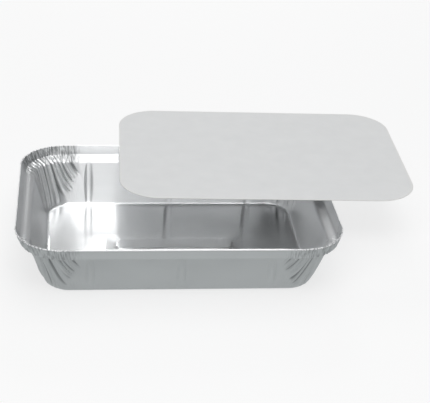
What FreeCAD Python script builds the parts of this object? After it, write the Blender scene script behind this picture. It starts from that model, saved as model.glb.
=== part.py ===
import FreeCAD, Part
import math
import os

# Pressed foil tray with a wrinkled wall, and its card lid lying loose across two of its rims.
# Millimetres, +Z up, +X along the length, origin on the underside at the middle of the base.

# Tray, overall
rim_length = 211.0
rim_depth = 150.0
tray_height = 40.0
sheet = 0.3

# Upright flange round the rim, leaning out more at the ends, with a folded hem on top
flange_height = 7.3
end_flange_lean = 2.9
side_flange_lean = 0.5
hem_height = 1.2
hem_proud = 0.5
hem_round = 0.3

# Ledge that the lid seats on, sagging inwards
ledge_width = 6.0
ledge_drop = 2.6

# Wall below the ledge
end_wall_lean = 9.2
side_wall_lean = 9.9

# Corner radii seen from above, at the rim, the inner edge of the ledge and the floor
rim_corner = 30.0
ledge_corner = 21.5
floor_corner = 17.0

# How far each bend of the section cuts back along its two legs
foot_bend = 2.4
ledge_inner_bend = 1.3
ledge_outer_bend = 0.7

# Wrinkles gathered into each corner, which swirl towards the long side on their way down
pleats = 13
pleat_gap = 1.0
pleat_run_end = 6.0
pleat_unevenness = 0.35
swirl = 7.0
wall_pleat = 0.6
ledge_pleat = 0.22
flange_pleat = 0.35

# Flutes pressed out of the long walls
ribs_per_side = 3
rib_spacing = 58.0
rib_width = 7.0
rib_flat = 2.8
rib_depth = 0.9

# Broad dent of each end wall, ending this far short of the wrinkles of the corners
dent_gap = 5.0
dent_depth = 0.8

# Raised panel in the middle of the floor
panel_length = 82.0
panel_depth = 14.0
panel_rise = 0.8
panel_slope = 1.6
panel_corner = 5.0

# Card lid, cut to seat on the ledge with these gaps to the flange
lid_end_gap = 0.3
lid_side_gap = 2.6
lid_corner = 27.5
lid_thickness = 0.5
lid_clearance = 0.1
lid_shift_x = 66.1
lid_shift_y = 62.2
lid_turn = -1.52

# Share of the full wrinkle at each row of the section, from the floor up to the hem
foot_wrinkles = (0.3 * wall_pleat, 0.36 * wall_pleat, 0.5 * wall_pleat)
wall_wrinkles = (0.85 * wall_pleat, 0.85 * wall_pleat)
shoulder_wrinkles = (0.6 * wall_pleat, 1.2 * ledge_pleat, ledge_pleat)
root_wrinkles = (ledge_pleat, 0.7 * flange_pleat)
hem_wrinkle = 0.6 * flange_pleat

# Heights of the middle rows of the wall, as shares of the way from the foot to the ledge
wall_stations = (0.3, 0.7)

# The wrinkles start just past the outermost flute
wrinkle_start = (ribs_per_side - 1) / 2 * rib_spacing + rib_width / 2 + pleat_gap

# Inner edge of the ledge, where the wall ends
wall_top = tray_height - flange_height - ledge_drop


# A point of the section holds its distance out at the ends and at the sides, its height
# and its corner radius
def mix(a, b, share):
    return tuple(p + share * (q - p) for p, q in zip(a, b))


# Step from one point of the section to another, as (out, up)
def step(a, b):
    return (b[0] - a[0] + b[1] - a[1]) / 2, b[2] - a[2]


def unit(a, b):
    out, up = step(a, b)
    size = math.hypot(out, up)
    return out / size, up / size


def towards(a, b, distance):
    return mix(a, b, distance / math.hypot(*step(a, b)))


# A sharp corner of the section becomes three points of a quadratic arc
def bend(before, corner, after, cut):
    start = towards(corner, before, cut)
    end = towards(corner, after, cut)
    return [start, mix(mix(start, end, 0.5), corner, 0.5), end]


# Outer face of the section from the floor up to the hem
def outer_section():
    half_x, half_y = rim_length / 2, rim_depth / 2
    foot_x, foot_y = half_x - end_flange_lean, half_y - side_flange_lean
    edge_x, edge_y = foot_x - ledge_width, foot_y - ledge_width
    base_x, base_y = edge_x - end_wall_lean, edge_y - side_wall_lean
    under_hem = (half_x - hem_proud, half_y - hem_proud, tray_height - hem_height, rim_corner - hem_proud)
    flange_foot = (foot_x, foot_y, wall_top + ledge_drop, ledge_corner + ledge_width)
    ledge_edge = (edge_x, edge_y, wall_top, ledge_corner)
    wall_foot = (base_x, base_y, 0.0, floor_corner)
    floor = (base_x - foot_bend, base_y - foot_bend, 0.0, floor_corner - foot_bend)
    foot = bend(floor, wall_foot, ledge_edge, foot_bend)
    shoulder = bend(wall_foot, ledge_edge, flange_foot, ledge_inner_bend)
    wall = [mix(foot[-1], shoulder[0], share) for share in wall_stations]
    root = bend(ledge_edge, flange_foot, under_hem, ledge_outer_bend)
    return foot + wall + shoulder + [root[0], root[-1], under_hem]


# Direction from the outer face to the inner one at each point, as (out, up), along the
# mitre of the two legs, with the length that keeps the sheet's thickness
def inward(section):
    arrows = []
    last = len(section) - 1
    for k in range(last + 1):
        before = unit(section[max(k - 1, 0)], section[max(k, 1)])
        after = unit(section[min(k, last - 1)], section[min(k + 1, last)])
        size = 1 + before[0] * after[0] + before[1] * after[1]
        arrows.append((-(before[1] + after[1]) / size, (before[0] + after[0]) / size))
    return arrows


def inner_section(section, arrows):
    inner = []
    for (end, side, height, corner), (out, up) in zip(section, arrows):
        inner.append((end + sheet * out, side + sheet * out, height + sheet * up, corner + sheet * out))
    return inner


# Point and outward angle at a distance along one quarter, from the last flute round to the end
def on_quarter(half_x, half_y, corner, distance):
    straight = half_x - corner - wrinkle_start
    arc = corner * math.pi / 2
    if distance < straight:
        return wrinkle_start + distance, half_y, math.pi / 2
    if distance > straight + arc:
        return half_x, half_y - corner - (distance - straight - arc), 0.0
    angle = math.pi / 2 - (distance - straight) / corner
    return half_x - corner + corner * math.cos(angle), half_y - corner + corner * math.sin(angle), angle


# Wrinkles of one corner as (x, y, outward angle, push), crests and troughs in turn
def quarter_points(point, wrinkle, seed):
    half_x, half_y, height, corner = point
    zone = half_x - corner - wrinkle_start + corner * math.pi / 2 + pleat_run_end
    drift = swirl * max(0.0, 1 - height / wall_top)
    folds = 2 * pleats
    points = []
    for j in range(folds + 1):
        fade = math.sin(math.pi * j / folds)
        uneven = pleat_unevenness * math.sin(2.4 * j + 1.7 * seed)
        distance = zone * (j + fade * uneven) / folds - drift * fade
        strength = 0.8 + 0.35 * math.sin(1.9 * j + 2.3 * seed)
        push = wrinkle * strength * min(1.0, 2.2 * fade) * (-1) ** j
        points.append(on_quarter(half_x, half_y, corner, distance) + (push,))
    return points


# Flutes along a long side as (x, share of the flute depth)
def flute_points():
    profile = ((-rib_width / 2, 0.0), (-rib_flat / 2, 1.0), (rib_flat / 2, 1.0), (rib_width / 2, 0.0))
    points = []
    for n in range(ribs_per_side):
        centre = (n - (ribs_per_side - 1) / 2) * rib_spacing
        points += [(centre + across, depth) for across, depth in profile]
    return points


# Dent along an end as (y, share of the dent depth)
def dent_points(half_y, corner):
    reach = half_y - corner - pleat_run_end - dent_gap
    return [(reach * at, math.cos(math.pi / 2 * at) ** 2) for at in (-1.0, -0.5, 0.0, 0.5, 1.0)]


# One closed ring of the sheet, where direction is (out, up) for the push of the wrinkles
def ring(point, wrinkle, direction):
    half_x, half_y, height, corner = point
    out, up = direction
    pressed = math.sin(math.pi * min(max(height / wall_top, 0.0), 1.0))
    rib, dent = rib_depth * pressed, -dent_depth * pressed
    points = []

    def add(x, y, angle, shift, rise):
        points.append(FreeCAD.Vector(x + shift * math.cos(angle), y + shift * math.sin(angle), height + rise))

    def add_corner(sign_x, sign_y, seed):
        quarter = quarter_points(point, wrinkle, seed)
        for x, y, angle, push in quarter if sign_x * sign_y < 0 else reversed(quarter):
            turned = math.atan2(sign_y * math.sin(angle), sign_x * math.cos(angle))
            add(sign_x * x, sign_y * y, turned, push * out, push * up)

    for x, depth in flute_points():
        add(x, -half_y, -math.pi / 2, rib * depth, 0.0)
    add_corner(1, -1, 1)
    for y, depth in dent_points(half_y, corner):
        add(half_x, y, 0.0, dent * depth, 0.0)
    add_corner(1, 1, 2)
    for x, depth in reversed(flute_points()):
        add(x, half_y, math.pi / 2, rib * depth, 0.0)
    add_corner(-1, 1, 3)
    for y, depth in reversed(dent_points(half_y, corner)):
        add(-half_x, y, math.pi, dent * depth, 0.0)
    add_corner(-1, -1, 4)
    return Part.makePolygon(points + points[:1])


# Folded hem from the inside over the top and down the outside, as section points
def hem_section(inside):
    half_x, half_y = rim_length / 2, rim_depth / 2
    top = tray_height
    lean = mix(inside, (half_x, half_y, top, rim_corner), 0.5)
    return [lean[:2] + (top, lean[3]),
            (half_x - hem_round, half_y - hem_round, top, rim_corner - hem_round),
            (half_x, half_y, top - hem_round, rim_corner),
            (half_x, half_y, top - hem_height + hem_round / 2, rim_corner)]


def rounded_outline(length, depth, corner, height):
    up = FreeCAD.Vector(0, 0, 1)
    x, y = length / 2 - corner, depth / 2 - corner
    arcs = []
    for turn, (centre_x, centre_y) in enumerate(((x, y), (-x, y), (-x, -y), (x, -y))):
        centre = FreeCAD.Vector(centre_x, centre_y, height)
        arcs.append(Part.makeCircle(corner, centre, up, 90 * turn, 90 * turn + 90))
    edges = []
    for arc, following in zip(arcs, arcs[1:] + arcs[:1]):
        edges += [arc, Part.makeLine(arc.Vertexes[-1].Point, following.Vertexes[0].Point)]
    return Part.Wire(edges)


# Frustum of the floor panel, larger all round by grow, with its foot at a height
def panel_frustum(grow, foot, top):
    def outline(height):
        inset = grow - panel_slope * (height - grow) / panel_rise
        return rounded_outline(panel_length + 2 * inset, panel_depth + 2 * inset, panel_corner + inset, height)
    return Part.makeLoft([outline(foot), outline(top)], True, True)


def make_tray():
    outer = outer_section()
    arrows = inward(outer)
    inner = inner_section(outer, arrows)
    level = (1.0, 0.0)
    wrinkles = foot_wrinkles + wall_wrinkles + shoulder_wrinkles + root_wrinkles + (hem_wrinkle,)
    directions = [level] * len(foot_wrinkles)
    for out, up in arrows[len(foot_wrinkles):]:
        directions.append((-out / math.hypot(out, up), -up / math.hypot(out, up)))
    rings = [ring(*row) for row in zip(inner, wrinkles, directions)]
    rings += [ring(point, hem_wrinkle, level) for point in hem_section(inner[-1])]
    rings += reversed([ring(*row) for row in zip(outer, wrinkles, directions)])
    tray = Part.makeLoft(rings, True, True)
    bite = sheet / 3
    raised = panel_frustum(sheet, sheet - bite, sheet + panel_rise)
    hollow = panel_frustum(0.0, -bite, panel_rise)
    return tray.fuse(raised).cut(hollow)


def make_lid():
    length = rim_length - 2 * end_flange_lean - 2 * lid_end_gap
    depth = rim_depth - 2 * side_flange_lean - 2 * lid_side_gap
    card = Part.Face(rounded_outline(length, depth, lid_corner, 0.0))
    lid = card.extrude(FreeCAD.Vector(0, 0, lid_thickness))
    lid.rotate(FreeCAD.Vector(0, 0, 0), FreeCAD.Vector(0, 0, 1), lid_turn)
    lid.translate(FreeCAD.Vector(lid_shift_x, lid_shift_y, tray_height + lid_clearance))
    return lid


os.makedirs("parts", exist_ok=True)
make_tray().exportStep("parts/foil_tray.step")
make_lid().exportStep("parts/card_lid.step")
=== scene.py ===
import math

import bpy
import numpy as np
from mathutils import Matrix, Vector


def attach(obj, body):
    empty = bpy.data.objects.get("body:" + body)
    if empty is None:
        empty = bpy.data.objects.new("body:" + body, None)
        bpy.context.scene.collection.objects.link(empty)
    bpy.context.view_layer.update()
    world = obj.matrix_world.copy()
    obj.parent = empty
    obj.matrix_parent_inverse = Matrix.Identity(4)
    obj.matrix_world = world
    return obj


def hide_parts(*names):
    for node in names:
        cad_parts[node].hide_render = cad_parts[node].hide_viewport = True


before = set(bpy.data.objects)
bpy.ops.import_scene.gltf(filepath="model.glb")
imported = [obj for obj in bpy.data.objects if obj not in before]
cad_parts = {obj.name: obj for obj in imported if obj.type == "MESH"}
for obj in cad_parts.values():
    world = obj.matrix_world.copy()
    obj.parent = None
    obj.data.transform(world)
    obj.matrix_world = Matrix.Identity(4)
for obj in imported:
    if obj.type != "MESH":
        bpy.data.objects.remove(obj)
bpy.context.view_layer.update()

mm = 0.001


# Mesh object from points and lists of faces, smooth, with named UV maps and point masks
def meshObject(name, points, faces, uvs=None, masks=None):
    sizes = np.concatenate([np.full(len(part), part.shape[1]) for part in faces])
    corners = np.concatenate([part.ravel() for part in faces]).astype(np.int32)
    mesh = bpy.data.meshes.new(name)
    mesh.vertices.add(len(points))
    mesh.vertices.foreach_set("co", np.asarray(points, np.float32).ravel())
    mesh.loops.add(len(corners))
    mesh.loops.foreach_set("vertex_index", corners)
    mesh.polygons.add(len(sizes))
    starts = np.concatenate([[0], np.cumsum(sizes)[:-1]]).astype(np.int32)
    mesh.polygons.foreach_set("loop_start", starts)
    mesh.update(calc_edges=True)
    mesh.polygons.foreach_set("use_smooth", np.ones(len(sizes), dtype=bool))
    for title, values in (uvs or {}).items():
        layer = mesh.uv_layers.new(name=title)
        layer.data.foreach_set("uv", np.asarray(values, np.float32)[corners].ravel())
    for title, values in (masks or {}).items():
        layer = mesh.attributes.new(title, "FLOAT", "POINT")
        layer.data.foreach_set("value", np.asarray(values, np.float32).ravel())
    obj = bpy.data.objects.new(name, mesh)
    bpy.context.scene.collection.objects.link(obj)
    return obj


# Quads of a stack of closed rings, each ring holding the same number of points
def ringQuads(rows, columns):
    r = np.arange(rows - 1)[:, None]
    c = np.arange(columns)[None, :]
    n = (c + 1) % columns
    a, b = r * columns + c, r * columns + n
    return np.stack([a, b, b + columns, a + columns], axis=-1).reshape(-1, 4)


# Faces that close a flat ring like a ladder, from each point to its mirror across the X
# axis; the ring starts at the middle of an end, and its first points up to last lie in line
def ladderFaces(first, columns, last, flip):
    half = columns // 2
    k = np.arange(last + 1, half - last - 1)
    quads = np.stack([k, k + 1, columns - k - 1, columns - k], axis=-1)
    tip = np.arange(-last - 1, last + 2)[None, :]
    parts = [quads, tip % columns, tip + half]
    return [part[:, ::-1] + first if flip else part + first for part in parts]


# Smooth step from 0 at a to 1 at b
def ramp(a, b, x):
    t = np.clip((x - a) / (b - a), 0.0, 1.0)
    return t * t * (3.0 - 2.0 * t)


# Value that goes smoothly from the first of a pair to the second over a zone
def change(pair, zone, x):
    return pair[0] + (pair[1] - pair[0]) * ramp(*zone, x)


# Wave: a size times the sine of the sum of some values, each at its own rate
def wave(size, rates, *values):
    return size * np.sin(sum(rate * value for rate, value in zip(rates, values)))


# Foil tray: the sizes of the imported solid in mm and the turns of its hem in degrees, with
# finer wrinkles. A zone gives the two places, as shares of a height or of the corner, between
# which a value changes. A wave gives its size and its rates.
tray = dict(
    length=211.0, depth=150.0, height=40.0, sheet=0.3, reach=(105.58, 75.16),
    flangeHeight=7.3, endFlangeLean=2.9, sideFlangeLean=0.5,
    hemHeight=1.2, hemProud=0.5, hemTurns=(170, 140, 110, 80, 50, 20, -15, -50), hemRun=(0.3, 2.0),
    ledgeWidth=6.0, ledgeDrop=2.6, endWallLean=9.2, sideWallLean=9.9,
    rimCorner=30.0, ledgeCorner=21.5, floorCorner=17.0,
    footBend=2.4, footInset=1.6, ledgeInnerBend=1.3, ledgeOuterBend=0.7,
    # Rows of the section and columns of a ring
    footRows=6, wallRows=20, innerRows=4, ledgeRows=(0.33, 0.67), outerRows=3,
    flangeRows=(0.2, 0.4, 0.6, 0.8, 1.0), floorRows=(0.15, 0.4, 0.7),
    ribColumns=17, gapColumns=7, cornerColumns=158, endColumns=36,
    # Wrinkles: number, reach, lean and length, then the depth on each stretch of the section
    pleats=18, pleatGap=1.0, pleatRunEnd=6.0, pleatFade=2.6, swirl=3.5, riseLimit=1.3,
    sideLean=0.75, endLean=-0.12, shortest=0.62, shortZone=(0.05, 0.38), shortFade=(0.12, 0.2),
    wallPleat=1.0, floorShare=0.1, footShares=(0.2, 0.5), footZone=(0.0, 0.1),
    wallShares=(0.5, 1.0), wallZone=(0.05, 0.35), shoulderShare=0.8, shoulderZone=(0.94, 1.01),
    ledgePleat=0.24, flangePleat=0.3, hemShare=0.55,
    # Their unevenness: spacing, height and roundness of the crests, and a finer crumple
    spacingWave=(0.4, (0.63, 1.7)), spacingDrift=(0.15, (4.0, 2.1)),
    crestMean=0.75, crestWave=(0.4, (1.9, 2.3, 1.8)), crestRound=0.15,
    crumpleWave=(0.18, (2 * math.pi * 0.71, 3.0, 1.0)),
    # Crimps and dips of the rim, and ridges across the ledge
    crimp=0.2, crimpPitch=1.9, crimpWave=(1.3, (0.9, 1.0)), crimpFade=2.2, crimpZone=(0.96, 1.04),
    hemDip=0.45, dipZone=(0.985, 1.0), dipMean=0.5, dipWave=(0.3, (2.1, 1.0)), dipRipple=(0.2, (5.3,)),
    ridges=(6.0, 10.0, 14.0), ridgeHeight=0.32, ridgeWidth=0.75, shoulderRidge=0.6,
    ribSpacing=58.0, ribWidth=7.0, ribMargin=0.4, ribFlat=1.8, ribDepth=1.3, ribTaper=0.38,
    dentGap=5.0, dentDepth=0.8,
    panelLength=82.0, panelDepth=14.0, panelRise=0.8, panelSlope=1.6, panelCorner=5.0,
    panelSoft=0.12, panelNear=0.75,
    floorWave=0.05, floorPitches=(13.0, 17.0, 11.0, 29.0), floorBend=0.8,
    # Shares of the crumpled look, crimp bumps and painted crease shade, on the wall, at the shoulder and
    # above it
    gatherShares=(0.12, 0.4, 1.0),
)


# Section points are (half length, half depth, height, corner radius)
def mix(a, b, shares):
    shares = np.asarray(shares)[:, None]
    return np.asarray(a) * (1 - shares) + np.asarray(b) * shares


def towards(a, b, distance):
    a, b = np.asarray(a), np.asarray(b)
    reach = math.hypot((b[0] - a[0] + b[1] - a[1]) / 2, b[2] - a[2])
    return a + (b - a) * (distance / reach)


# A bend of the section: a quadratic arc from one leg to the other
def bend(before, corner, after, cut, count):
    start, end = towards(corner, before, cut), towards(corner, after, cut)
    t = np.linspace(0.0, 1.0, count)[:, None]
    return (1 - t) ** 2 * start + 2 * t * (1 - t) * np.asarray(corner) + t ** 2 * end


# Outer face of the section from the edge of the floor to under the hem, with the strength
# of the wrinkles at each row
def outerSection(p):
    hx, hy, top = p["length"] / 2, p["depth"] / 2, p["height"]
    wallTop = top - p["flangeHeight"] - p["ledgeDrop"]
    hem = (hx - p["hemProud"], hy - p["hemProud"], top - p["hemHeight"], p["rimCorner"] - p["hemProud"])
    foot = (hx - p["endFlangeLean"], hy - p["sideFlangeLean"], top - p["flangeHeight"],
            p["ledgeCorner"] + p["ledgeWidth"])
    edge = (foot[0] - p["ledgeWidth"], foot[1] - p["ledgeWidth"], wallTop, p["ledgeCorner"])
    base = (edge[0] - p["endWallLean"], edge[1] - p["sideWallLean"], 0.0, p["floorCorner"])
    inset = p["footInset"] * p["footBend"]
    floor = (base[0] - inset, base[1] - inset, 0.0, p["floorCorner"] - inset)
    footArc = bend(floor, base, edge, p["footBend"], p["footRows"])
    shoulder = bend(base, edge, foot, p["ledgeInnerBend"], p["innerRows"])
    root = bend(edge, foot, hem, p["ledgeOuterBend"], p["outerRows"])
    wall = mix(footArc[-1], shoulder[0], np.linspace(0, 1, p["wallRows"] + 2)[1:-1])
    ledge = mix(shoulder[-1], root[0], p["ledgeRows"])
    flange = mix(root[-1], hem, p["flangeRows"])
    rows = np.concatenate([[floor], footArc, wall, shoulder, ledge, root, flange])
    parts = [1, len(footArc), len(wall), len(shoulder), len(ledge) + len(root), len(flange)]
    kind = np.repeat(np.arange(len(parts)), parts)
    wallShare, deep = rows[:, 2] / wallTop, p["wallPleat"]
    strength = np.select(
        [kind == 0, kind == 1, kind == 2, kind == 3, kind == 4],
        [p["floorShare"] * deep, deep * change(p["footShares"], p["footZone"], wallShare),
         deep * change(p["wallShares"], p["wallZone"], wallShare),
         change((p["shoulderShare"] * deep, p["ledgePleat"]), p["shoulderZone"], wallShare),
         p["ledgePleat"]], p["flangePleat"])
    return rows, kind, strength


# Direction from the outer face to the inner one, along the mitre of the two legs
def mitres(rows):
    steps = np.stack([(np.diff(rows[:, 0]) + np.diff(rows[:, 1])) / 2, np.diff(rows[:, 2])], axis=-1)
    steps /= np.linalg.norm(steps, axis=1)[:, None]
    before = np.concatenate([steps[:1], steps])
    after = np.concatenate([steps, steps[-1:]])
    size = 1 + (before * after).sum(axis=1)
    return np.stack([-(before[:, 1] + after[:, 1]) / size, (before[:, 0] + after[:, 0]) / size], axis=-1)


# Columns of a ring from the middle of the left end round through the front side: the kind
# (0 side, 1 corner, 2 end), the signs of the quarter and the place along that stretch
def trayColumns(p):
    lastRib = p["ribSpacing"] + p["ribWidth"] / 2
    sideEnd = lastRib + p["pleatGap"]
    ribHalf = p["ribWidth"] / 2 + p["ribMargin"]
    rib = np.linspace(-ribHalf, ribHalf, p["ribColumns"])
    gap = np.linspace(ribHalf, p["ribSpacing"] - ribHalf, p["gapColumns"] + 2)[1:-1]
    side = np.concatenate([rib - p["ribSpacing"], gap - p["ribSpacing"], rib, gap, rib + p["ribSpacing"]])
    turn = np.linspace(0.0, 1.0, p["cornerColumns"])
    end = np.linspace(0.0, 1.0, p["endColumns"] // 2 + 1)[:-1]
    stretches = [
        (2, -1, -1, end), (1, -1, -1, turn[::-1]), (0, -1, -1, side), (1, 1, -1, turn),
        (2, 1, -1, end[::-1]), (2, 1, 1, end[1:]), (1, 1, 1, turn[::-1]), (0, 1, 1, -side),
        (1, -1, 1, turn), (2, -1, 1, end[:0:-1])]
    kind = np.concatenate([np.full(len(at), k) for k, sx, sy, at in stretches])
    signX = np.concatenate([np.full(len(at), sx) for k, sx, sy, at in stretches])
    signY = np.concatenate([np.full(len(at), sy) for k, sx, sy, at in stretches])
    place = np.concatenate([at for k, sx, sy, at in stretches])
    return dict(kind=kind, signX=signX, signY=signY, place=place, sideEnd=sideEnd)


# Points of many rings at once. Each ring is a rounded rectangle; a wrinkle is a nearly
# straight-sided rise and fall along the corner, unevenly spaced and of uneven height, that
# leans towards the long side on its way down, more so and shorter the nearer it is to that
# side; a flute is a flat-topped bump out of a long side and a dent a squared cosine on an end.
# Also given back are how crumpled the rim is and how far each point is down in a groove.
def trayRings(p, c, rows, strength, push, ledgeShare):
    hx, hy, height, corner = (rows[:, k:k + 1] for k in range(4))
    kind, signX, signY, place = (c[key][None, :] for key in ("kind", "signX", "signY", "place"))
    seed = np.select([(signX > 0) & (signY < 0), (signX > 0) & (signY > 0), signX < 0], [1, 2, 3]) \
        + ((signX < 0) & (signY < 0))
    wallTop = p["height"] - p["flangeHeight"] - p["ledgeDrop"]
    rise = np.clip(height / wallTop, 0.0, p["riseLimit"])
    straight = hx - corner - c["sideEnd"]
    arc = corner * math.pi / 2
    zone = straight + arc + p["pleatRunEnd"]
    folds = 2 * p["pleats"]
    t = np.where(kind == 1, place, 0.0)
    fade = np.sin(math.pi * t)
    distance = zone * t - p["swirl"] * np.maximum(0.0, 1 - rise) * fade

    leaning = p["endLean"] + (p["sideLean"] - p["endLean"]) * (1 - t) ** 2
    count = folds * (distance / zone + np.maximum(0.0, wallTop - height) * leaning / zone)
    count = count + wave(*p["spacingWave"], count, seed) + wave(*p["spacingDrift"], rise, count)
    j = np.floor(count)
    f = count - j

    def crest(n):
        return p["crestMean"] + wave(*p["crestWave"], n, seed, rise)

    soft = (1 - p["crestRound"]) * f + p["crestRound"] * (1 - np.cos(math.pi * f)) / 2
    fold = ((1 - soft) * crest(j) - soft * crest(j + 1)) * np.where(j % 2 == 0, 1.0, -1.0)
    fold += wave(*p["crumpleWave"], count, rise, seed)
    start = p["shortest"] * (1 - ramp(*p["shortZone"], t))
    short = ramp(start - p["shortFade"][0], start + p["shortFade"][1], rise)
    wrinkle = strength[:, None] * fold * np.minimum(1.0, p["pleatFade"] * fade) * short
    groove = np.where(kind == 1, wrinkle / p["wallPleat"], 0.0)
    rim = ramp(*p["crimpZone"], rise)
    crimped = np.minimum(1.0, p["crimpFade"] * fade)
    wrinkle += p["crimp"] * rim * crimped * np.sin(
        2 * math.pi * distance / p["crimpPitch"] + wave(*p["crimpWave"], distance, seed))
    fromEnd = zone - distance
    ridge = sum(np.exp(-((fromEnd - at) / p["ridgeWidth"]) ** 2) for at in p["ridges"])
    wrinkle -= p["ridgeHeight"] * ridge * ledgeShare[:, None] * (kind == 1)

    angle = math.pi / 2 - np.clip((distance - straight) / corner, 0.0, math.pi / 2)
    cornerX = hx - corner + corner * np.cos(angle) - np.maximum(0.0, straight - distance)
    cornerY = hy - corner + corner * np.sin(angle) - np.maximum(0.0, distance - straight - arc)
    pressed = np.sin(math.pi * np.clip(rise, 0.0, 1.0))
    nearest = place - p["ribSpacing"] * np.clip(np.round(place / p["ribSpacing"]), -1, 1)
    width = p["ribWidth"] / 2 * (1 - p["ribTaper"] + p["ribTaper"] * pressed)
    flute = 1 - ramp(p["ribFlat"] / 2, width, np.abs(nearest))
    run = hy - corner - p["pleatRunEnd"]
    across = place * run
    dentReach = run - p["dentGap"]
    dent = np.cos(math.pi / 2 * np.clip(across / dentReach, -1, 1)) ** 2

    x = np.select([kind == 0, kind == 1], [place + 0 * hx, signX * cornerX], signX * hx)
    y = np.select([kind == 0, kind == 1], [signY * hy, signY * cornerY], signY * across)
    outX = np.select([kind == 0, kind == 1], [0 * x, signX * np.cos(angle)], signX + 0 * x)
    outY = np.select([kind == 0, kind == 1], [signY + 0 * x, signY * np.sin(angle)], 0 * x)
    level = np.select([kind == 0, kind == 2],
                      [p["ribDepth"] * pressed * flute, -p["dentDepth"] * pressed * dent], 0.0)
    wrinkle = np.where(kind == 1, wrinkle, 0.0)
    shift = level + wrinkle * push[:, :1]
    gathered = np.where(kind == 1, crimped, 0.0) + 0 * x
    dip = p["hemDip"] * gathered * ramp(*p["dipZone"], height / p["height"]) * (
        p["dipMean"] + wave(*p["dipWave"], distance, seed) + wave(*p["dipRipple"], distance))
    x = np.clip(x + outX * shift, -p["reach"][0], p["reach"][0])
    y = np.clip(y + outY * shift, -p["reach"][1], p["reach"][1])
    points = np.stack([x, y, height + wrinkle * push[:, 1:] - dip], axis=-1)
    return points, gathered, groove


# Rounded rectangle through the same columns, for the floor panel
def plainRing(c, hx, hy, corner, height):
    kind, signX, signY, place = (c[key] for key in ("kind", "signX", "signY", "place"))
    angle = math.pi / 2 * (1 - place)
    x = np.select([kind == 0, kind == 1], [place / c["sideEnd"] * (hx - corner),
                                           signX * (hx - corner + corner * np.cos(angle))], signX * hx)
    y = np.select([kind == 0, kind == 1], [signY * hy, signY * (hy - corner + corner * np.sin(angle))],
                  signY * place * (hy - corner))
    return np.stack([x, y, height + 0 * x], axis=-1)


# Slow rise and fall of the thin floor: two crossed sine waves
def floorWave(p, points, share):
    x, y = points[..., 0], points[..., 1]
    long, bent, deep, slant = p["floorPitches"]
    swell = np.sin(x / long + p["floorBend"] * np.sin(y / bent)) + np.sin(y / deep + x / slant)
    points[..., 2] += p["floorWave"] * share * (swell + 2) / 4


# Rings of the floor from the middle of the panel out to the edge ring
def floorRings(p, c, edge, level, grow):
    half = np.array([p["panelLength"] / 2 + grow, p["panelDepth"] / 2 + grow])
    radius = p["panelCorner"] + grow
    slope, soft, near = p["panelSlope"], p["panelSoft"], p["panelNear"]
    foot = plainRing(c, half[0], half[1], radius, level)
    top = plainRing(c, half[0] - slope, half[1] - slope, radius - slope, level + p["panelRise"])
    out = soft * (foot - top) * np.array([1, 1, 0])
    lip, crown = foot + out, top - out
    base = (1 - near) * lip + near * foot + soft / 2 * (top - foot) * np.array([0, 0, 1])
    spread = [lip + share * (edge - lip) for share in p["floorRows"]]
    rings = [crown, (1 - near) * crown + near * top, 0.5 * (foot + top), base, lip] + spread
    return np.stack(rings)


# Folded hem: an oval bead from the inner face over the top and under the outer edge
def hemSection(p, inside):
    hx, hy, top = p["length"] / 2, p["depth"] / 2, p["height"]
    bead = p["hemHeight"] / 2
    thick = (hx - inside[0]) / 2
    turns = np.radians(p["hemTurns"])
    out = thick * (1 + np.cos(turns))
    up = top - bead + bead * np.sin(turns)
    lean = np.asarray(inside)[[0, 1, 3]]
    return np.stack([lean[0] + out, lean[1] + out, up, lean[2] + out], axis=-1)


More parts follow.
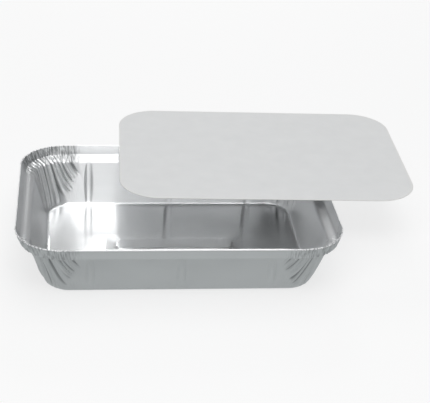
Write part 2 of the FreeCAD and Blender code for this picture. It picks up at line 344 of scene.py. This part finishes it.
def makeTray(p):
    c = trayColumns(p)
    outer, kind, strength = outerSection(p)
    arrows = mitres(outer)
    inner = outer.copy()
    inner[:, [0, 1, 3]] += p["sheet"] * arrows[:, :1]
    inner[:, 2] += p["sheet"] * arrows[:, 1]
    push = -arrows / np.linalg.norm(arrows, axis=1)[:, None]
    push[kind < 2] = (1.0, 0.0)
    ledgeShare = np.select([kind == 3, kind == 4], [p["shoulderRidge"], 1.0], 0.0)
    hem = hemSection(p, inner[-1])
    hemPush = np.tile([[1.0, 0.0]], (len(hem), 1))
    hemStrength = np.full(len(hem), p["hemShare"] * p["flangePleat"])
    strength[-1] = hemStrength[0]
    print("tray: section of", len(outer), "rows,", len(c["kind"]), "columns")
    insideRings, gather, groove = trayRings(p, c, inner, strength, push, ledgeShare)
    hemRings, hemGather, hemGroove = trayRings(p, c, hem, hemStrength, hemPush, np.zeros(len(hem)))
    outsideRings, outGather, outGroove = trayRings(p, c, outer, strength, push, ledgeShare)
    insideFloor = floorRings(p, c, insideRings[0], p["sheet"], p["sheet"])
    outsideFloor = floorRings(p, c, outsideRings[0], 0.0, 0.0)
    floorRows, wallRows = len(insideFloor), len(inner)
    floorWave(p, insideFloor, 1.0)
    floorWave(p, insideRings[:1], 1.0)
    points = np.concatenate([insideFloor, insideRings, hemRings, outsideRings[::-1], outsideFloor[::-1]])
    rows, columns = points.shape[:2]

    # The blank before pressing: straight out from the floor by the length of the section
    steps = np.hypot((np.diff(outer[:, 0]) + np.diff(outer[:, 1])) / 2, np.diff(outer[:, 2]))
    length = np.concatenate([[0], np.cumsum(steps)])
    hemLength = length[-1] + np.linspace(*p["hemRun"], len(hem))
    start = outsideRings[0, :, :2]
    out = outsideRings[-1, :, :2] - start
    out /= np.linalg.norm(out, axis=1)[:, None]
    sweep = np.concatenate([length, hemLength, length[::-1]])
    pressed = start[None] + out[None] * sweep[:, None, None]
    blank = np.concatenate([insideFloor[..., :2], pressed, outsideFloor[::-1, :, :2]])
    rim = np.linalg.norm(np.diff(outsideRings[-1], axis=0, append=outsideRings[-1][:1]), axis=1)
    around = np.concatenate([[0], np.cumsum(rim)[:-1]])
    along = np.stack(np.broadcast_arrays(around[None, :], np.concatenate(
        [np.zeros(floorRows), sweep, np.zeros(floorRows)])[:, None]), axis=-1)
    low, middle, high = p["gatherShares"]
    crumple = np.select([kind == 3, kind >= 4], [middle, high], low * (kind == 2))[:, None]
    still = np.zeros((floorRows, columns))
    gathered = np.concatenate([still, gather * crumple, hemGather, (outGather * crumple)[::-1], still])
    grooves = np.concatenate([still, groove, hemGroove, -outGroove[::-1], still])

    outRow = np.arange(rows) >= floorRows + wallRows + len(hem)
    outerFace = np.repeat(outRow.astype(float), columns)
    inLine = p["endColumns"] // 2
    faces = [ringQuads(rows, columns)[:, ::-1]] + ladderFaces(0, columns, inLine, False)
    faces += ladderFaces((rows - 1) * columns, columns, inLine, True)
    return meshObject("foilTray", points.reshape(-1, 3) * mm, faces,
                      dict(blank=blank[..., ::-1].reshape(-1, 2) * mm, along=along.reshape(-1, 2) * mm),
                      dict(gather=gathered, groove=grooves, outside=outerFace))


trayPiece = makeTray(tray)
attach(trayPiece, "root")
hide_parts("foil_tray")
print("tray made,", len(trayPiece.data.polygons), "faces")

# Card lid: a cut sheet with slightly crushed edges, lying across the rim
lid = dict(
    length=204.59, depth=143.79, corner=27.5, thick=0.5, shiftX=66.1, shiftY=62.2, turn=-1.52, bottom=40.1,
    edgeRound=0.14, edgeStep=0.3, topInset=2.0, cutReach=0.6, cornerPoints=33, sidePoints=7, endPoints=4,
)


# Outline of a rounded rectangle from the middle of the left end round the front, inset
def lidOutline(p, inset):
    hx, hy, corner = p["length"] / 2 - inset, p["depth"] / 2 - inset, p["corner"] - inset
    quarter = np.linspace(0, math.pi / 2, p["cornerPoints"])
    side = np.linspace(-1, 1, p["sidePoints"] + 2)[1:-1] * (hx - corner)
    end = np.linspace(0, 1, p["endPoints"] + 1)[:-1] * (hy - corner)
    arcX, arcY = hx - corner + corner * np.cos(quarter), hy - corner + corner * np.sin(quarter)
    endX, sideY = np.full(len(end), hx), np.full(len(side), hy)
    x = np.concatenate([-endX, -arcX, side, arcX[::-1], endX[1:],
                        endX, arcX, -side, -arcX[::-1], -endX[1:]])
    y = np.concatenate([-end, -arcY, -sideY, -arcY[::-1], -end[:0:-1],
                        end, arcY, sideY, arcY[::-1], end[:0:-1]])
    return x, y


# Rings from the middle of the top, over the edge and back under: each is the outline at an
# inset and a height
def makeLid(p):
    thick, soft, flatInset = p["thick"], p["edgeRound"], p["topInset"]
    near = p["edgeStep"] * soft
    rings = [(flatInset, thick), (soft, thick), (near, thick - near), (0.0, thick - soft),
             (0.0, soft), (near, near), (soft, 0.0), (flatInset, 0.0)]
    points = []
    for inset, height in rings:
        x, y = lidOutline(p, inset)
        points.append(np.stack([x, y, height + 0 * x], axis=-1))
    points = np.stack(points)
    a = math.radians(p["turn"])
    flat = points[..., :2].copy()
    points[..., 0] = flat[..., 0] * math.cos(a) - flat[..., 1] * math.sin(a) + p["shiftX"]
    points[..., 1] = flat[..., 0] * math.sin(a) + flat[..., 1] * math.cos(a) + p["shiftY"]
    points[..., 2] += p["bottom"]
    rows, columns = points.shape[:2]
    faces = [ringQuads(rows, columns)[:, ::-1]] + ladderFaces(0, columns, p["endPoints"], False)
    faces += ladderFaces((rows - 1) * columns, columns, p["endPoints"], True)
    depth = np.array([inset for inset, height in rings])[:, None] + np.zeros(columns)
    edge = np.clip(1 - depth / p["cutReach"], 0, 1)
    return meshObject("cardLid", points.reshape(-1, 3) * mm, faces, dict(sheet=flat.reshape(-1, 2) * mm),
                      dict(cutEdge=edge, under=np.repeat([0.0, 1.0], rows // 2 * columns)))


lidPiece = makeLid(lid)
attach(lidPiece, "root")
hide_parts("card_lid")
print("lid made,", len(lidPiece.data.polygons), "faces")


# Adds a shader node, or a group's own in or out node, with its socket values and settings
def addNode(tree, kind, inputs=None, **settings):
    node = tree.nodes.new(kind if kind.startswith("NodeGroup") else "ShaderNode" + kind)
    for key, value in settings.items():
        setattr(node, key, value)
    for key, value in (inputs or {}).items():
        if isinstance(value, bpy.types.NodeSocket):
            tree.links.new(value, node.inputs[key])
        else:
            node.inputs[key].default_value = value
    return node


# Short forms of the nodes used most; each returns the socket that carries the result
def readMap(tree, name):
    return addNode(tree, "UVMap", uv_map=name).outputs[0]


def readMask(tree, name):
    return addNode(tree, "Attribute", attribute_name=name).outputs["Fac"]


def maths(tree, operation, *values, clamp=False):
    return addNode(tree, "Math", dict(enumerate(values)), operation=operation, use_clamp=clamp).outputs[0]


def mixColour(tree, share, first, second):
    return addNode(tree, "Mix", {"Factor": share, 6: first, 7: second}, data_type="RGBA").outputs[2]


def rescale(tree, value, source, target, smooth=False):
    limits = {"From Min": source[0], "From Max": source[1], "To Min": target[0], "To Max": target[1]}
    kind = "SMOOTHSTEP" if smooth else "LINEAR"
    return addNode(tree, "MapRange", {"Value": value, **limits}, interpolation_type=kind).outputs[0]


def cloudNoise(tree, vector, scale, detail):
    return addNode(tree, "TexNoise", {"Vector": vector, "Scale": scale, "Detail": detail}).outputs["Fac"]


def newMaterial(name):
    material = bpy.data.materials.new(name)
    material.use_nodes = True
    material.node_tree.nodes.clear()
    return material, material.node_tree


# Streaks: noise drawn out along one direction, put out as a value
def makeStreaks(roughness):
    group = bpy.data.node_groups.new("drawnStreaks", "ShaderNodeTree")
    group.interface.new_socket("Vector", in_out="INPUT", socket_type="NodeSocketVector")
    for title in ("Across", "Along", "Detail"):
        group.interface.new_socket(title, in_out="INPUT", socket_type="NodeSocketFloat")
    group.interface.new_socket("Value", in_out="OUTPUT", socket_type="NodeSocketFloat")
    start = addNode(group, "NodeGroupInput").outputs
    scale = addNode(group, "CombineXYZ", {"X": start["Across"], "Y": start["Along"], "Z": 1.0}).outputs[0]
    stretched = addNode(group, "VectorMath", {0: start["Vector"], 1: scale}, operation="MULTIPLY").outputs[0]
    noise = addNode(group, "TexNoise", {
        "Vector": stretched, "Scale": 1.0, "Detail": start["Detail"], "Roughness": roughness})
    addNode(group, "NodeGroupOutput", {"Value": noise.outputs["Fac"]})
    return group


streakGroup = makeStreaks(roughness=0.55)


# Streaks of a run: how many to the metre across it and along it, and the detail
def streaks(tree, vector, run):
    inputs = dict(zip(("Across", "Along", "Detail"), run), Vector=vector)
    return addNode(tree, "Group", inputs, node_tree=streakGroup).outputs[0]


# Foil: rolled aluminium, its rolling lines along the length of the blank, rougher outside and smoother on
# the floor;
# its outside colour darker, partly a matt face and partly painted shade, and painted shade darkening it down
# in its creases and grooves
foil = dict(
    # The outside colour is darker than the inside's: partly a matt face, partly painted shade
    dark=(0.91, 0.92, 0.925, 1.0), bright=(0.95, 0.955, 0.96, 1.0), matt=(0.49, 0.515, 0.52, 1.0),
    # Painted shade in the creases and grooves: its dark grey, and the edges and shares of its two masks
    creaseShadeColour=(0.22, 0.232, 0.235, 1.0), creaseShadeEdges=(0.55, 0.4), creaseShadeShare=0.6,
    grooveShadeEdges=(0.15, 0.8), grooveShadeShare=0.8,
    patchScale=55.0, patchDetail=3.0, patchEdges=(0.3, 0.7), smooth=0.32, rough=0.36, mattRough=0.08,
    floorEdges=(0.0018, 0.001), floorRough=-0.11, anisotropic=0.93,
    lineRun=(2600.0, 35.0, 3.0), broadRun=(260.0, 12.0, 2.0), crimpRun=(900.0, 160.0, 2.0),
    lineDepth=0.000004, crimpDepth=0.0005,
)


def makeFoil(v):
    material, tree = newMaterial("rolledFoil")
    blank, along = readMap(tree, "blank"), readMap(tree, "along")
    outside, gather, groove = (readMask(tree, name) for name in ("outside", "gather", "groove"))
    place = addNode(tree, "TexCoord").outputs["Object"]
    lines, broad = streaks(tree, blank, v["lineRun"]), streaks(tree, blank, v["broadRun"])
    crimps = streaks(tree, along, v["crimpRun"])

    patches = cloudNoise(tree, place, v["patchScale"], v["patchDetail"])
    satin = rescale(tree, patches, v["patchEdges"], (v["smooth"], v["rough"]))
    satin = maths(tree, "MULTIPLY_ADD", outside, v["mattRough"], satin)
    height = addNode(tree, "SeparateXYZ", {0: place}).outputs["Z"]
    floorChange = rescale(tree, height, v["floorEdges"], (0.0, v["floorRough"]))
    satin = maths(tree, "ADD", satin, floorChange)

    # Painted shade: a dark grey mixed in down in the crimps of the gathered rim and in the grooves of the
    # wrinkles
    crimpShade = rescale(tree, crimps, v["creaseShadeEdges"], (0.0, v["creaseShadeShare"]))
    deep = maths(tree, "MULTIPLY", crimpShade, gather)
    grooveShade = rescale(tree, groove, v["grooveShadeEdges"], (0.0, v["grooveShadeShare"]), smooth=True)
    # The outside takes the darker colour, partly a matt face and partly painted shade
    colour = mixColour(tree, outside, mixColour(tree, broad, v["dark"], v["bright"]), v["matt"])
    colour = mixColour(tree, maths(tree, "MAXIMUM", deep, grooveShade), colour, v["creaseShadeColour"])

    fine = addNode(tree, "Bump", {"Height": lines, "Distance": v["lineDepth"], "Strength": 1.0})
    crimped = maths(tree, "MULTIPLY", crimps, gather)
    coarse = addNode(tree, "Bump", {"Height": crimped, "Distance": v["crimpDepth"], "Strength": 1.0,
                                    "Normal": fine.outputs[0]})
    tangent = addNode(tree, "Tangent", direction_type="UV_MAP", uv_map="blank")
    metal = addNode(tree, "BsdfPrincipled", {
        "Base Color": colour, "Metallic": 1.0, "Roughness": satin, "Anisotropic": v["anisotropic"],
        "Tangent": tangent.outputs[0], "Normal": coarse.outputs[0]})
    addNode(tree, "OutputMaterial", {"Surface": metal.outputs[0]})
    return material


trayPiece.data.materials.append(makeFoil(foil))

# Card: white board with a faint cloud of fibres and a cut edge, its underside lined with foil
card = dict(
    face=(0.79, 0.795, 0.795, 1.0), shade=(0.73, 0.736, 0.737, 1.0), cut=(0.8, 0.795, 0.78, 1.0),
    lining=(0.93, 0.935, 0.94, 1.0), liningRough=0.25, roughness=(0.65, 0.85),
    gloss=0.3, cloudScale=90.0, cloudDetail=4.0,
    fibreRun=(700.0, 2200.0, 4.0), fibreDepth=0.00003, fibreStrength=0.6,
)


def makeCard(v):
    material, tree = newMaterial("whiteBoard")
    edge, under = readMask(tree, "cutEdge"), readMask(tree, "under")
    place = addNode(tree, "TexCoord").outputs["Object"]
    cloud = cloudNoise(tree, place, v["cloudScale"], v["cloudDetail"])
    fibres = streaks(tree, readMap(tree, "sheet"), v["fibreRun"])
    colour = mixColour(tree, under, mixColour(tree, cloud, v["shade"], v["face"]), v["lining"])
    colour = mixColour(tree, edge, colour, v["cut"])
    lined = maths(tree, "SUBTRACT", under, edge, clamp=True)
    rough = rescale(tree, fibres, (0.0, 1.0), v["roughness"])
    rough = addNode(tree, "Mix", {"Factor": lined, 2: rough, 3: v["liningRough"]}).outputs[0]
    bump = addNode(tree, "Bump", {
        "Height": fibres, "Distance": v["fibreDepth"], "Strength": v["fibreStrength"]})
    board = addNode(tree, "BsdfPrincipled", {
        "Base Color": colour, "Roughness": rough, "Specular IOR Level": v["gloss"], "Metallic": lined,
        "Normal": bump.outputs[0]})
    addNode(tree, "OutputMaterial", {"Surface": board.outputs[0]})
    return material


lidPiece.data.materials.append(makeCard(card))
print("materials made")

# Studio: a pale floor, a sky that is bright overhead and darker low down and to the sides,
# and two soft lamps
studio = dict(
    floorColour=(0.95, 0.95, 0.95, 1.0), floorRoughness=0.9, floorGloss=0.1, whitening=0.7,
    floorHalf=4.0, floorDrop=0.0003,
    horizon=(0.26, 0.268, 0.272, 1.0), overhead=(1.34, 1.34, 1.34, 1.0), shoulder=(0.62, 0.85),
    sideShade=(0.36, 0.365, 0.37, 1.0), sideMiddle=0.1, sideEdge=(0.14, 0.5),
    lamps=dict(
        backLamp=dict(place=(0.11, 1.05, 0.57), size=(0.3, 0.22), power=1.6),
        frontLamp=dict(place=(-0.15, -0.62, 1.08), size=(1.1, 0.5), power=4.6)),
)


# Floor: seen by the camera, and in reflections, its paper is mixed with plain white
def makeGround(v):
    half, drop = v["floorHalf"], -v["floorDrop"]
    corners = np.array([[-half, -half, drop], [half, -half, drop], [half, half, drop], [-half, half, drop]])
    ground = meshObject("paleFloor", corners, [np.array([[0, 1, 2, 3]])])
    material, tree = newMaterial("palePaper")
    matt = addNode(tree, "BsdfPrincipled", {
        "Base Color": v["floorColour"], "Roughness": v["floorRoughness"],
        "Specular IOR Level": v["floorGloss"]})
    white = addNode(tree, "Emission", {"Color": (1.0, 1.0, 1.0, 1.0), "Strength": 1.0})
    path = addNode(tree, "LightPath").outputs
    seen = maths(tree, "ADD", path["Is Camera Ray"], path["Is Glossy Ray"])
    seen = maths(tree, "ADD", seen, path["Is Transmission Ray"], clamp=True)
    share = maths(tree, "MULTIPLY", seen, v["whitening"])
    mixed = addNode(tree, "MixShader", {0: share, 1: matt.outputs[0], 2: white.outputs[0]})
    addNode(tree, "OutputMaterial", {"Surface": mixed.outputs[0]})
    ground.data.materials.append(material)


def makeSky(v):
    world = bpy.data.worlds.new("softRoom")
    bpy.context.scene.world = world
    world.use_nodes = True
    tree = world.node_tree
    tree.nodes.clear()
    direction = addNode(tree, "TexCoord").outputs["Generated"]
    split = addNode(tree, "SeparateXYZ", {0: direction}).outputs
    height = rescale(tree, split["Z"], v["shoulder"], (0.0, 1.0), smooth=True)
    sideways = maths(tree, "ABSOLUTE", maths(tree, "SUBTRACT", split["X"], v["sideMiddle"]))
    aside = rescale(tree, sideways, v["sideEdge"], (0.0, 1.0), smooth=True)
    sky = mixColour(tree, aside, mixColour(tree, height, v["horizon"], v["overhead"]), v["sideShade"])
    glow = addNode(tree, "Background", {"Color": sky, "Strength": 1.0})
    addNode(tree, "OutputWorld", {"Surface": glow.outputs[0]})


def makeLamps(v):
    for name, lamp in v["lamps"].items():
        data = bpy.data.lights.new(name, "AREA")
        data.shape = "RECTANGLE"
        data.size, data.size_y = lamp["size"]
        data.energy = lamp["power"]
        light = bpy.data.objects.new(name, data)
        light.location = lamp["place"]
        light.rotation_euler = (-Vector(lamp["place"])).to_track_quat("-Z", "Y").to_euler()
        bpy.context.scene.collection.objects.link(light)


makeGround(studio)
makeSky(studio)
makeLamps(studio)

# Camera: solved from the outlines of the tray and the lid
view = dict(
    place=(-0.06626, -0.72533, 0.42171), lens=101.97, sensor=36.0, nearest=0.01, farthest=20.0,
    right=(0.99365, -0.09950, 0.05244), up=(0.00067, 0.47150, 0.88188),
    forward=(0.11247, 0.87625, -0.46857),
)


def makeCamera(v):
    data = bpy.data.cameras.new("camera")
    data.lens = v["lens"]
    data.sensor_fit = "HORIZONTAL"
    data.sensor_width = v["sensor"]
    data.clip_start = v["nearest"]
    data.clip_end = v["farthest"]
    camera = bpy.data.objects.new("camera", data)
    right, up, forward = (Vector(v[key]).normalized() for key in ("right", "up", "forward"))
    turn = Matrix((right, up, -forward)).transposed().to_4x4()
    camera.matrix_world = Matrix.Translation(v["place"]) @ turn
    bpy.context.scene.collection.objects.link(camera)
    bpy.context.scene.camera = camera


makeCamera(view)
bpy.context.scene.view_settings.view_transform = "Standard"
print("studio and camera made")
